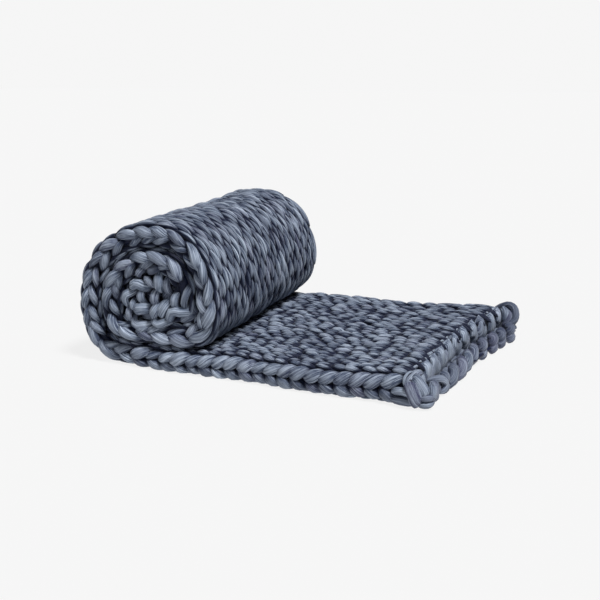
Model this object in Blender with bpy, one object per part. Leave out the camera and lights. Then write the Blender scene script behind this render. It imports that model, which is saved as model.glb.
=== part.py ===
"""A chunky hand-knit weighted blanket, folded once lengthwise, then rolled up from its far end,
with its loose end lying flat.

The blanket is one continuous piece of knitting, so it is one solid: a hairpin cross-section, two
layers with a thin slit between them and a rounded fold on the -Y side, follows a spiral through
the roll and then runs straight along the floor.
Units are metres, +Z is up, the floor is Z = 0, the loose end points to +X and the roll's
spiral faces look to -Y and +Y.
"""
import math
from collections import namedtuple

import bpy

# ---- driving dimensions ----
FOLDED_WIDTH = 0.500         # along Y, which is also the length of the roll
LAYER_PITCH = 0.0436         # from one turn of the roll to the next
LOOSE_END_REACH = 0.492      # from the roll's middle line to the lower layer's end, on the -Y side
ROLL_MIDDLE_X = -0.16743     # the roll's middle line, at the -Y side
STRIP_MIDDLE_Y = 0.00425     # the strip's middle line, as one knot stands out past the -Y side

# ---- thickness of the two layers together, and the slit between them ----
# at: distance along X from the roll's middle line; the values hold up to the first row's
# place and from the last row's place, and change smoothly in between
Thickness = namedtuple("Thickness", "at whole slit")
THICKNESS = (
    Thickness(0.060, 0.0405, 0.0015),    # pressed by the roll's own weight
    Thickness(0.150, 0.0470, 0.0020),    # lying loose
    Thickness(0.300, 0.0480, 0.0030),
    Thickness(0.450, 0.0590, 0.0090),    # the end, where the upper layer stands off the lower
)
ROLLED = THICKNESS[0]

# ---- how the knitting lies, not quite square ----
ROLL_LEAN = -0.037           # the roll's +Y end lies this much further along X than its -Y end
LOOSE_END_LEAN = 0.042       # and the same for the lower layer's loose end
LEAN_FROM_X = 0.110          # the lean changes evenly from here to the loose end
DRAWN_BACK = 0.042           # how far the upper layer's end is drawn back, on the -Y side
DRAWN_BACK_FAR = 0.056       # and on the +Y side
DRAWN_LENGTH = 0.140         # the stretch of the upper layer that this draws in
EDGE_WAVE = 0.0025           # how far the side edges wander
EDGE_WAVE_LENGTH = 0.270

# ---- cross-section ----
FOLD_ROUND = 0.017           # how far the rounded fold stands out from the flat faces
FOLD_FULLNESS = 2.4          # 2 is an ellipse, more is squarer
FOLD_POINTS = 6              # steps round the fold
SELVEDGE_ROUND = 0.008       # how far each layer's rounded free edge stands out
SELVEDGE_POINTS = 4          # steps round it
END_ROUND = 0.006            # rounding of the two cut ends
ELLIPSE = 2.0                # the fullness of a plain ellipse

# ---- spacing of the cross-sections ----
LONGEST_STEP = 0.018
SHORTEST_STEP = 0.006
TURN_PER_STEP = 0.20         # radians
FINE_STEP = 0.001
QUARTER_POINTS = 80
HEADING_REACH = 3            # fine steps on each side that a direction is measured over

# ---- the roll, one row for each half turn, from the outside in ----
# level: which turn it starts and ends on, counted from the floor
# start_x, end_x: where it leaves and meets the flat runs; reach_x, reach_z: its widest point
# start_full, end_full: how square its first and second quarters are (2 is an ellipse)
HalfTurn = namedtuple(
    "HalfTurn", "level end_level start_x reach_x reach_z end_x start_full end_full")
ROLL = (
    HalfTurn(0, 5, -0.074, -0.1500, 0.100, 0.000, 2.5, 2.16),
    HalfTurn(5, 1, 0.000, 0.0925, 0.130, 0.035, 2.14, 2.7),
    HalfTurn(1, 4, -0.058, -0.1040, 0.110, -0.004, 2.35, 2.16),
    HalfTurn(4, 2, -0.004, 0.0468, 0.145, 0.022, 2.06, 2.4),
    HalfTurn(2, 3, -0.022, -0.0438, 0.1295, -0.022, 2.0, 2.0),
)
CORE_END_X = 0.006           # where the innermost layer ends

# ---- the yarn knots at the loose end's two corners ----
# x, y: the knot's middle from the roll's middle line and from the -Y side; z: above the floor
Knot = namedtuple("Knot", "x y z size_x size_y size_z")
KNOTS = (
    Knot(0.480, 0.010, 0.0260, 0.044, 0.042, 0.051),
    Knot(0.507, 0.478, 0.0450, 0.052, 0.048, 0.046),
)
KNOT_SEGMENTS = 20
KNOT_RINGS = 12

# ---- finish ----
YARN_COLOUR = (0.096, 0.117, 0.160, 1.0)
YARN_ROUGHNESS = 0.85
SMOOTH_UP_TO = 40            # degrees between faces; past this an edge is drawn sharp


def clear_scene():
    """Remove every object, so that the model starts from nothing."""
    for item in list(bpy.data.objects):
        bpy.data.objects.remove(item, do_unlink=True)


def smooth_step(value, low, high):
    """Rise smoothly from 0 at low to 1 at high."""
    part = min(max((value - low) / (high - low), 0.0), 1.0)
    return part * part * (3.0 - 2.0 * part)


def layer_height(level):
    """Height of a turn's middle above the floor."""
    return ROLLED.whole / 2 + level * LAYER_PITCH


def quarter(flat_x, flat_z, reach_x, reach_z, fullness):
    """Points from the end of a flat run to the widest point of a half turn."""
    points = []
    for step in range(QUARTER_POINTS + 1):
        angle = math.pi / 2 * step / QUARTER_POINTS
        across = math.sin(angle) ** (2 / fullness)
        up = math.cos(angle) ** (2 / fullness) if step < QUARTER_POINTS else 0.0
        points.append((flat_x + (reach_x - flat_x) * across, reach_z + (flat_z - reach_z) * up))
    return points


def roll_path():
    """The strip's middle line in the XZ plane, from the loose end to the core."""
    path = [(LOOSE_END_REACH, layer_height(0))]
    for turn in ROLL:
        start_z = layer_height(turn.level)
        end_z = layer_height(turn.end_level)
        path += quarter(turn.start_x, start_z, turn.reach_x, turn.reach_z, turn.start_full)
        closing = quarter(turn.end_x, end_z, turn.reach_x, turn.reach_z, turn.end_full)
        path += closing[::-1]
    path.append((CORE_END_X, layer_height(ROLL[-1].end_level)))
    return path


def even_points(path, step):
    """The same line with points an even distance apart."""
    points = [path[0]]
    left = step
    for (x0, z0), (x1, z1) in zip(path, path[1:]):
        length = math.hypot(x1 - x0, z1 - z0)
        at = left
        while at < length:
            points.append((x0 + (x1 - x0) * at / length, z0 + (z1 - z0) * at / length))
            at += step
        left = at - length
    points.append(path[-1])
    return points


def headings(points):
    """Direction of travel at each point, as a unit vector."""
    result = []
    last = len(points) - 1
    for index in range(last + 1):
        x0, z0 = points[max(index - HEADING_REACH, 0)]
        x1, z1 = points[min(index + HEADING_REACH, last)]
        length = math.hypot(x1 - x0, z1 - z0)
        result.append(((x1 - x0) / length, (z1 - z0) / length))
    return result


def stations():
    """Places of the cross-sections: closer together where the strip bends."""
    points = even_points(roll_path(), FINE_STEP)
    ways = headings(points)
    chosen = [0]
    turned = 0.0
    for index in range(1, len(points)):
        (ax, az), (bx, bz) = ways[index - 1], ways[index]
        turned += abs(math.atan2(ax * bz - az * bx, ax * bx + az * bz))
        gone = (index - chosen[-1]) * FINE_STEP
        if gone >= LONGEST_STEP or (turned >= TURN_PER_STEP and gone >= SHORTEST_STEP):
            chosen.append(index)
            turned = 0.0
    if (len(points) - 1 - chosen[-1]) * FINE_STEP < SHORTEST_STEP:
        chosen.pop()
    chosen.append(len(points) - 1)
    return [(index * FINE_STEP, points[index], ways[index]) for index in chosen]


def thickness_at(travelled):
    """Thickness of the folded strip, and of the slit between its two layers."""
    x = LOOSE_END_REACH - travelled
    whole, slit = ROLLED.whole, ROLLED.slit
    for before, after in zip(THICKNESS, THICKNESS[1:]):
        share = smooth_step(x, before.at, after.at)
        whole += (after.whole - before.whole) * share
        slit += (after.slit - before.slit) * share
    return whole, slit


def lean_at(travelled):
    """How much further along X the +Y side lies than the -Y side."""
    x = LOOSE_END_REACH - travelled
    share = min(max((x - LEAN_FROM_X) / (LOOSE_END_REACH - LEAN_FROM_X), 0.0), 1.0)
    return ROLL_LEAN + (LOOSE_END_LEAN - ROLL_LEAN) * share


def bow(middle, half_height, depth, fullness, steps):
    """Points round a rounded edge that stands out from middle along -Y, from its top down."""
    points = []
    for step in range(steps + 1):
        angle = math.pi * (0.5 - step / steps)
        out = math.cos(angle) ** (2 / fullness) if 0 < step < steps else 0.0
        up = math.copysign(abs(math.sin(angle)) ** (2 / fullness), math.sin(angle))
        points.append((middle - depth * out, half_height * up, (1 + math.sin(angle)) / 2))
    return points


def section(whole, slit, inset):
    """The hairpin cross-section, drawn in from its outline by inset.

    Each point is (across, up, share of the upper layer). Returned as the outer face and the
    slit's face, both from the upper layer's free edge round the fold to the lower layer's,
    and the two free edges, each without the points that it shares with the faces.
    """
    half = FOLDED_WIDTH / 2
    free = half - SELVEDGE_ROUND
    top = whole / 2 - inset
    gap = slit / 2 + inset
    fold_at = -half + FOLD_ROUND
    slit_at = -half + whole / 2
    outer = bow(fold_at, top, FOLD_ROUND - inset, FOLD_FULLNESS, FOLD_POINTS)
    inner = bow(slit_at, gap, gap, ELLIPSE, FOLD_POINTS)
    outer = [(free, top, 1.0)] + outer + [(free, -top, 0.0)]
    inner = [(free, gap, 1.0)] + inner + [(free, -gap, 0.0)]
    edges = []
    for side in (1, -1):
        middle = side * (top + gap) / 2
        arc = bow(0.0, (top - gap) / 2, SELVEDGE_ROUND - inset, ELLIPSE, SELVEDGE_POINTS)
        share = (side + 1) / 2
        edges.append([(free - across, middle + up, share) for across, up, _ in arc[1:-1]])
    return outer, inner, edges[0], edges[1]


def place(points, travelled, point, way, whole):
    """Cross-section points in space."""
    x, z = point
    lift = (whole - ROLLED.whole) / 2
    wave = EDGE_WAVE * math.sin(2 * math.pi * travelled / EDGE_WAVE_LENGTH)
    lean = lean_at(travelled)
    drawn = 1 - smooth_step(travelled, 0.0, DRAWN_LENGTH)
    placed = []
    for across, up, upper in points:
        side = across / FOLDED_WIDTH + 0.5
        back = (DRAWN_BACK + (DRAWN_BACK_FAR - DRAWN_BACK) * side) * upper * drawn
        placed.append((
            ROLL_MIDDLE_X + x + way[1] * up + lean * side - back,
            STRIP_MIDDLE_Y + across + wave,
            z + lift - way[0] * up))
    return placed


def strip_rings():
    """All the cross-sections of the strip, with both ends rounded."""
    places = stations()
    last = len(places) - 1
    rings = []
    for index, (travelled, point, way) in enumerate(places):
        spots = [(point, 0.0)]
        if index in (0, last):
            step = -END_ROUND if index == 0 else END_ROUND
            tip = (point[0] + step * way[0], point[1] + step * way[1])
            spots = [(tip, END_ROUND), (point, 0.0)] if index == 0 else [(point, 0.0), (tip, END_ROUND)]
        whole, slit = thickness_at(travelled)
        for spot, inset in spots:
            outer, inner, upper_edge, lower_edge = section(whole, slit, inset)
            loop = outer + lower_edge[::-1] + inner[::-1] + upper_edge[::-1]
            rings.append(place(loop, travelled, spot, way, whole))
    return rings


def mesh_object(name, vertices, faces, material):
    """An object from its points and faces, smooth where the surface is nearly so."""
    mesh = bpy.data.meshes.new(name)
    mesh.from_pydata(vertices, [], faces)
    mesh.validate()
    mesh.materials.append(material)
    mesh.shade_smooth()
    mesh.set_sharp_from_angle(angle=math.radians(SMOOTH_UP_TO))
    item = bpy.data.objects.new(name, mesh)
    bpy.context.collection.objects.link(item)
    return item


def end_faces(first, facing):
    """The faces that close one end of the strip, whose ring starts at vertex first."""
    face_points = FOLD_POINTS + 3
    edge_points = SELVEDGE_POINTS - 1
    outer = [first + step for step in range(face_points)]
    lower_edge = [outer[-1] + 1 + step for step in range(edge_points)]
    inner = [lower_edge[-1] + face_points - step for step in range(face_points)]
    upper_edge = [inner[0] + 1 + step for step in range(edge_points)]
    faces = [(outer[k], outer[k + 1], inner[k + 1], inner[k]) for k in range(face_points - 1)]
    faces.append(tuple([inner[0]] + upper_edge + [outer[0]]))
    faces.append(tuple([outer[-1]] + lower_edge + [inner[-1]]))
    return faces if facing else [face[::-1] for face in faces]


def blanket_strip(material):
    """The strip as one closed mesh."""
    rings = strip_rings()
    count = len(rings[0])
    vertices = [vertex for ring in rings for vertex in ring]
    faces = end_faces(0, True)
    for index in range(len(rings) - 1):
        here = index * count
        beyond = here + count
        for corner in range(count):
            following = (corner + 1) % count
            faces.append((here + following, here + corner, beyond + corner, beyond + following))
    faces += end_faces((len(rings) - 1) * count, False)
    return mesh_object("blanket", vertices, faces, material)


def knot_guide(number, knot, material):
    """The bulk of one corner knot, an ellipsoid that the strip is united with."""
    middle_x = ROLL_MIDDLE_X + knot.x
    middle_y = STRIP_MIDDLE_Y - FOLDED_WIDTH / 2 + knot.y
    vertices = []
    for ring in range(1, KNOT_RINGS):
        height = math.pi * ring / KNOT_RINGS
        for segment in range(KNOT_SEGMENTS):
            turn = 2 * math.pi * segment / KNOT_SEGMENTS
            vertices.append((
                middle_x + knot.size_x / 2 * math.sin(height) * math.cos(turn),
                middle_y + knot.size_y / 2 * math.sin(height) * math.sin(turn),
                knot.z + knot.size_z / 2 * math.cos(height)))
    top = len(vertices)
    vertices.append((middle_x, middle_y, knot.z + knot.size_z / 2))
    vertices.append((middle_x, middle_y, knot.z - knot.size_z / 2))
    faces = []
    lowest = (KNOT_RINGS - 2) * KNOT_SEGMENTS
    for segment in range(KNOT_SEGMENTS):
        following = (segment + 1) % KNOT_SEGMENTS
        faces.append((top, segment, following))
        faces.append((top + 1, lowest + following, lowest + segment))
        for ring in range(KNOT_RINGS - 2):
            here = ring * KNOT_SEGMENTS
            below = here + KNOT_SEGMENTS
            faces.append((here + following, here + segment, below + segment, below + following))
    guide = mesh_object("knot_guide_%d" % number, vertices, faces, material)
    guide.display_type = "WIRE"
    guide.hide_render = True
    return guide


def add_knots(blanket, material):
    """Unite the strip with its corner knots."""
    for number, knot in enumerate(KNOTS, start=1):
        union = blanket.modifiers.new("knot_%d" % number, "BOOLEAN")
        union.operation = "UNION"
        union.solver = "EXACT"
        union.object = knot_guide(number, knot, material)


def yarn_material():
    """Slate-blue jersey yarn, matt."""
    material = bpy.data.materials.new("yarn")
    material.use_nodes = True
    shader = material.node_tree.nodes["Principled BSDF"]
    shader.inputs["Base Color"].default_value = YARN_COLOUR
    shader.inputs["Roughness"].default_value = YARN_ROUGHNESS
    shader.inputs["Metallic"].default_value = 0.0
    return material


def main():
    clear_scene()
    material = yarn_material()
    blanket = blanket_strip(material)
    add_knots(blanket, material)


main()
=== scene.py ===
"""How the weighted blanket looks: every knitted stitch as a plump tube of jersey yarn.

The CAD solid is one folded and rolled strip. Here the same strip is covered with stockinette
stitches. Each stitch is a V of two legs, whose point looks towards the roll's core, and each leg
is a tapered tube that comes up beside the next stitch and dives under the one after it.
A thin ground sheet inside the two layers keeps light from passing between the stitches, and is
painted nearly black, as painted shade.
Units are metres, in the CAD frame. Loose yarn is laid out in millimetres.
"""
import math
from collections import namedtuple

import bpy
import numpy as np
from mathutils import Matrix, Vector


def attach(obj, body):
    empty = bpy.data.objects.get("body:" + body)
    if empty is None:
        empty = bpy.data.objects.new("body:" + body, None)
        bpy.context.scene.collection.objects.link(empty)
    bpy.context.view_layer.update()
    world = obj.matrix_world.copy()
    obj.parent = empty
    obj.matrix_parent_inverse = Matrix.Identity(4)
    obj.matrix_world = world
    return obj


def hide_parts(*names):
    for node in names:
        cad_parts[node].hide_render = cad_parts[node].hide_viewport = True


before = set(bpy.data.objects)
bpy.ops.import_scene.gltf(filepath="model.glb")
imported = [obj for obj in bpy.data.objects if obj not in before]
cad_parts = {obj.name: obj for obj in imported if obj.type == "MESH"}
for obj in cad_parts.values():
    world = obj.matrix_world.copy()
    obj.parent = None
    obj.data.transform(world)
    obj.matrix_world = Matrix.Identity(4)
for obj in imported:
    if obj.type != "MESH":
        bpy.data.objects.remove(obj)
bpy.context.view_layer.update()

BODY = "root"
NODE = "blanket"
SEED = 20

# ---- the folded strip, as in the CAD solid ----
FOLDED_WIDTH = 0.5
LAYER_PITCH = 0.0436  # from the middle of one turn to the middle of the next
LOOSE_END_REACH = 0.492  # from the roll's middle to the loose end
ROLL_MIDDLE_X = -0.16743
STRIP_MIDDLE_Y = 0.00425
Thickness = namedtuple("Thickness", "at whole")  # at: distance from the roll's middle
THICKNESS = (
    Thickness(0.06, 0.0405),
    Thickness(0.15, 0.047),
    Thickness(0.3, 0.048),
    Thickness(0.45, 0.059),
)
ROLLED = THICKNESS[0]
# how much further along X the far side lies than the near side, in the roll and at the loose end
ROLL_LEAN, LOOSE_END_LEAN = -0.037, 0.042
LEAN_FROM_X = 0.11  # from the roll's middle to where the lean starts to change
UPPER_END = 0.037  # the upper layer stops this far short of the lower one
UPPER_END_HOLLOW = 0.013  # and this much further back at its middle
EDGE_WAVE = 0.0025  # how far the strip wanders sideways
EDGE_WAVE_LENGTH = 0.27
FOLD_ROUND = 0.017  # how deep the fold's bend is, across the strip

# each half turn of the roll runs from one level to another round its widest point; X is measured
# from the roll's middle and Z from the floor; full: how square a quarter is (2 is an ellipse)
HalfTurn = namedtuple(
    "HalfTurn", "level end_level start_x reach_x reach_z end_x start_full end_full")
ROLL = (
    HalfTurn(0, 5, -0.074, -0.15, 0.1, 0.0, 2.5, 2.16),
    HalfTurn(5, 1, 0.0, 0.0925, 0.13, 0.035, 2.14, 2.7),
    HalfTurn(1, 4, -0.058, -0.104, 0.11, -0.004, 2.35, 2.16),
    HalfTurn(4, 2, -0.004, 0.0468, 0.145, 0.022, 2.06, 2.4),
    HalfTurn(2, 3, -0.022, -0.0438, 0.1295, -0.022, 2.0, 2.0),
)
CORE_END_X = 0.006
QUARTER_POINTS = 80
PATH_STEP = 0.001
DIRECTION_REACH = 3  # steps to each side that the path's direction is taken over
SAME_PLACE = 1e-9  # points nearer than this are one
RUN_OUT = 0.08  # the path goes on this far past the loose end

# the roll's far end swells a little, to the side and upwards
SWELL_SIDE, SWELL_UP = 0.07, 0.045
SWELL_FROM_Z, SWELL_TO_Z = 0.06, 0.11
ROLL_MIDDLE_Z = 0.13
FLOOR_SOFTNESS = 0.0008  # how gently yarn flattens where it meets the floor

# ---- the knitting ----
WALE = 0.0264  # from one column of stitches to the next
SIDE_WALES = 18  # columns on each face, besides the one on the fold
FIRST_WALE = 0.0335  # from the fold to the first of these
ROLLED_FIRST_WALE = 0.0345  # and on the outside of the roll
COURSE = 0.025  # from one row of stitches to the next, lying loose
ROLLED_STRETCH = 1.45  # and how much longer that is in the roll
FIRST_COURSE = 0.038  # from a layer's end to the first V's point
LOWER_END = 0.02  # the lower layer's first V's start this much further in
FIRST_FOLD_COURSE = 0.088  # where the fold's own column starts, beside the near knot
FOLD_DROP = 0.003  # how far the fold's own column sits below its middle
WALE_DRIFT = 0.0035  # how unevenly neighbouring columns are pulled along
DRIFT_WAVES = ((1.0, 1.9, 0.0), (1.0, 0.83, 1.0), (0.8, 3.7, 2.0))  # size, pace, start

# distances along the strip from the loose end
DRIFT_FROM, DRIFT_TO = 0.05, 0.20  # the columns' uneven pull sets in
STRETCH_FROM, STRETCH_TO = 0.40, 0.62  # the courses get longer, and the swell sets in
ROLL_FROM = 0.46  # the underside's stitches become the roll's outside
TOP_TO = 0.5  # the upper face has gone under the roll
FOLD_ROLLED_FROM = 0.56  # the column on the fold changes its look
ROLL_TOP = 0.87  # from the roll's left half to its right half
ROLL_TO = 1.27  # from the roll's outside to its inner turns
CORE_FROM = 1.57  # the column on the fold stops here

# length: in courses; near, far: a leg's distance from its column's middle, at the V's point and
# at its open end; crest: height of its centre line at its highest, from the solid's face;
# dip: how far both its ends go down from there; slim: how much thinner its ends are;
# stagger: how far one leg of a V is ahead of the other, in courses; uneven: how much that varies;
# shade: how quickly painted shade darkens it below its crest; light: its usual brightness, 0 to 1
Style = namedtuple(
    "Style", "length near far wide thick crest dip slim stagger uneven shade light")
LOOSE = Style(
    1.7, 0.0036, 0.0112, 0.0134, 0.012, -0.0034, 0.0116, 0.6, 0.22, 0.12, 1.8, 0.4)
ROLLED_OUT = Style(
    1.78, 0.0052, 0.0082, 0.0112, 0.018, -0.0056, 0.0116, 0.56, 0.36, 0.06, 1.25, 0.35)
FOLD_UPPER = Style(
    1.92, 0.0015, 0.0245, 0.022, 0.0205, -0.0058, 0.018, 0.46, 0.16, 0.05, 0.75, 0.35)
FOLD_LOWER = Style(
    1.55, 0.004, 0.0265, 0.0225, 0.0215, -0.0055, 0.018, 0.44, 0.16, 0.06, 0.85, 0.2)
FOLD_OUTSIDE = Style(
    1.75, 0.0, 0.021, 0.0225, 0.021, -0.007, 0.0165, 0.45, 0.1, 0.12, 0.6, 0.4)
FOLD_INSIDE = Style(
    1.38, 0.001, 0.0265, 0.02, 0.02, -0.009, 0.015, 0.4, 0.1, 0.16, 0.7, 0.3)

# a leg's shape along its length, from 0 at the V's point to 1 at its open end: where the leg is
# highest or fullest, and how suddenly it falls away before that place and after it
Hump = namedtuple("Hump", "peak before after")
LEG_RISE = Hump(0.36, 2.8, 1.9)
LEG_PLUMP = Hump(0.40, 2.2, 1.6)
LEG_SWEEP = 0.45  # share of its way sideways that it makes in an S, not straight
LEG_PIVOT = 0.4  # the place about which its direction varies

# how much the legs vary: in length and fullness as shares, and in place and height
LENGTH_SPREAD = 0.05
PLUMP_SPREAD = 0.05
SIDE_SPREAD = 0.0008
DIRECTION_SPREAD = 0.0016
HEIGHT_SPREAD = 0.001
LIGHT_SPREAD = 0.1
PURPLE_SPREAD = 0.2

# a tube's round ends: where they begin, as a share of its half length, how far they reach from
# there, and the least share of its full size that they keep, squared
END_FROM = 0.72
LEG_END, LEG_END_LEAST = 0.285, 0.04
STRAND_END, STRAND_END_LEAST = 0.282, 0.01
LOBES = (0.055, 0.045)  # depths of a tube's three wide folds and of its five narrow ones
LOBE_SLIP = 1.2  # how far their phase runs on along the tube, at most

# the rounded free edges: one long bump for every second course
EDGE_LENGTH = 2.55  # in courses
EDGE_WIDE = 0.0165
EDGE_THICK = 0.017
EDGE_CREST = 0.2425  # of its centre line, from the strip's middle
EDGE_DIP = 0.01
EDGE_SLANT = 0.0038  # each bump climbs this far over the one before
EDGE_SHADE = 0.3
EDGE_RISE = Hump(0.42, 2.6, 2.2)
EDGE_TAPER = 0.35
EDGE_AHEAD = 0.006  # a bump's point lies this far past its course
EDGE_SHORT = 0.002  # but at least this far short of the strip's last end
EDGE_SPREAD = 0.0012
EDGE_PLUMP_SPREAD = 0.06
EDGE_POINTS = 14  # along each bump and round it

# ---- loose yarn, laid along lines of points, in millimetres ----
MILLIMETRE = 0.001
# wide, thick: in millimetres too; facing: the side that painted shade leaves light, and that
# wide is measured square to; stations: points along it; taper: how much thinner its ends are;
# light, purple: its usual brightness and purple cast; shade: how quickly painted shade darkens it
# towards its hidden side
Strand = namedtuple("Strand", "wide thick facing stations taper light purple shade",
                    defaults=(14, 0.35, 0.5, 0.5, 0.45))
STRAND_POINTS = 16  # round each strand
STRAND_TAPER_POWER = 2.2
STRAND_SPREAD = 0.04
STRAND_FLOOR = 0.0002  # no strand goes lower than this
SPLINE_STEPS = 12  # between two of a line's points
LEAF_SHADE, STRAP_SHADE = 0.6, 0.95
END_FACING = (1.0, -0.3, 0.2)
STRAP_FACING = (1.0, -0.2, 0.25)
NEAR_FACING = (0.3, -1.0, 0.1)
FAR_KNOT_FACING = (0.6, -0.4, 0.6)

# over the upper layer's end: flat straps, yarn between them and a thin chain behind; points at
# the layers' ends are measured sideways, outwards from the layer's end and up from the floor
STRAPS = 10
FIRST_STRAP = 0.07  # from the near edge
STRAP_PITCH = 0.043
STRAP_PLACE_SPREAD = 0.0015
LONG_STRAPS = (0, 1, 2, 3, 8)
LONG_FOOT, SHORT_FOOT = 16, 30  # how far above the floor the straps end, in millimetres
STRAP_SLANT, STRAP_SLANT_SPREAD = -3, 2  # how far sideways they go, in millimetres
SLANTED_STRAP = 7
SLANTED_STRAP_SLANT = -20
STRAP = Strand(24.5, 9, STRAP_FACING, stations=24, taper=0.08, purple=0.4, shade=STRAP_SHADE)
BETWEEN = Strand(19, 13, STRAP_FACING, light=0.2)
BETWEEN_LINES = (
    ((14, -10, 44), (14, -1, 41), (11, 4, 30), (4, -1, 17)),
    ((34, -12, 44), (34, -3, 40), (31, 0, 27), (26, -4, 14)),
)
CHAIN = Strand(5, 5, (0.3, 0.0, 1.0), light=0.9, purple=0.3)
CHAIN_LINES = (
    ((-10, -11.5, 48), (4, -9.5, 52.4), (22, -8.5, 52.6), (36, -9.5, 50.5)),
    ((14, -12.5, 49.5), (28, -9.5, 52), (38, -9, 52), (52, -10.5, 49)),
)

# along the lower layer's end: tall leaves, and two rows of short ones towards the far side
LEAVES = 10
TALL_LEAVES = 6
LOOP_LEAF = 1  # a loop takes this leaf's place
FIRST_LEAF = 0.027  # from the near edge
LEAF_PITCH = 0.044
LEAF_PLACE_SPREAD = 0.002
# the leaves stand back from the strip's end, more at its middle and less towards the far side,
# which sets in between two shares of the width
LEAF_BACK = 0.0135
LEAF_HOLLOW, LEAF_HOLLOW_WIDTH = 0.0085, 0.13
LEAF_FORWARD, LEAF_FORWARD_FROM_TO = 0.005, (0.6, 0.9)
TALL = Strand(23, 17, END_FACING, light=0.15, purple=0.6, shade=LEAF_SHADE)
LOOP = Strand(12, 12, END_FACING, stations=20, light=0.4, purple=0.6)
UPPER = Strand(22, 16, END_FACING, light=0.0, purple=0.7, shade=LEAF_SHADE)
UNDER = Strand(21, 15, END_FACING, light=0.0, purple=0.7, shade=LEAF_SHADE)
TALL_LINE = ((14, -6, 34), (13, 1, 29), (8, 3, 21), (0, 1, 12.5), (-10, -6, 6.5))
LOOP_LINE = ((-24, -18, 30), (-14, -4, 33.5), (0, 2, 30), (12, 4, 19), (6, 3, 10), (-4, -4, 7))
UNDER_LOOP_LINE = ((0, -14, 20), (-3, -7, 18.5), (-8, -5, 12), (-12, -8, 7))
UPPER_LINE = ((10, -8, 34), (9, 1, 30), (5, 2, 24), (0, -4, 18))
UNDER_LINE = ((12, -6, 19), (10, 2, 16), (5, 3, 11), (-2, -3, 7))
UPPER_BETWEEN_LINE = ((32, -12, 30), (31, -4, 26), (27, -3, 19), (21, -8, 12))
UNDER_BETWEEN_LINE = ((32, -12, 14), (28, -3, 12.5), (20, -1, 9.5), (10, -6, 7))

# the two knots: each strand's look and its lines, measured along X from the roll's middle, from
# the near edge and up from the floor
NEAR_KNOT = (
    # the ribbon that hangs over the corner
    (Strand(23, 11, NEAR_FACING, 20, 0.05, light=0.1, purple=0.9, shade=STRAP_SHADE),
     [((454.5, 4, 38.5), (456.5, -2, 38.5), (459.5, -4, 33),
       (464, -5, 24), (468, -3, 14), (472, 3, 8))]),
    # a strap down across it
    (Strand(20.5, 11, (0.5, -0.9, 0.3), 20, 0.05, light=0.25, purple=0.4, shade=STRAP_SHADE),
     [((457, 18, 40), (461, 9, 45), (466.5, 5, 43), (473, 3, 36.5), (477.5, 3, 29), (480, 4, 22))]),
    # a leaf beside that
    (Strand(14, 12, (1.0, -0.3, 0.0), light=0.4, purple=0.4),
     [((474, 28, 26), (483.5, 22, 33.5), (487, 18, 26), (486.5, 14, 11))]),
    # two wraps round the corner below
    (Strand(12.5, 13, (0.6, -0.8, 0.0), light=0.0, purple=0.8),
     [((468, 8, 20), (478, 1, 20), (485, 8, 18.5), (487, 22, 16)),
      ((464, 10, 8), (476, 2, 8.5), (484.5, 7, 8.5), (486, 22, 9))]),
    # the leaf that comes down from the ridge, and a thin loop over it
    (Strand(15, 12, (0.0, -0.8, 0.6), light=0.3),
     [((462, 38, 47), (460, 28, 50.5), (454.5, 14, 46.5), (451, 3, 40), (449, 0, 32))]),
    (Strand(5.2, 5.2, (-0.3, -1.0, 0.3), light=0.9, purple=0.3),
     [((456, 26, 51), (451, 13, 54.5), (447.5, 2, 50.5), (446.5, -2, 42), (450, 2, 33))]),
    # a leaf and a strand that lead into the knot along the fold
    (Strand(13.5, 13, NEAR_FACING, light=0.8, purple=0.3),
     [((424, 8, 20), (434.5, 2, 25.5), (444.5, 0, 26.5), (454.7, 1, 23.5), (462, 8, 18))]),
    (Strand(14, 13, NEAR_FACING, light=0.1, purple=0.6),
     [((420, 8, 10), (434, 3, 10), (446, 2, 10), (458, 2, 10), (466, 10, 12))]),
)
FAR_KNOT = (
    # a leaf at the corner
    (Strand(21, 15, END_FACING, purple=0.4),
     [((486, 476, 45), (496, 473, 52.5), (501.5, 469, 49), (503, 465, 40), (500, 460, 29))]),
    # a dark loop over and round it, and a wide leaf inside the loop
    (Strand(14.5, 14.5, FAR_KNOT_FACING, 26, 0.15, light=0.05, purple=0.8),
     [((468, 490, 40), (479.3, 490, 48), (490.8, 490, 56),
       (503.7, 487, 59.5), (516, 477, 56.5), (521.5, 468, 46.5),
       (519.5, 461, 36), (511, 457, 30), (500, 457, 27))]),
    (Strand(24, 19, FAR_KNOT_FACING, 20, light=0.1),
     [((484, 488, 36), (496, 486, 44), (508, 478, 45.5),
       (513, 468, 40), (509, 460, 30), (498, 456, 22))]),
    # the yarn's tip, low down
    (Strand(15, 12, (0.5, -0.5, 0.7), purple=0.8),
     [((504, 444, 10), (514, 452, 10), (522, 460, 6.5))]),
)
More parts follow.
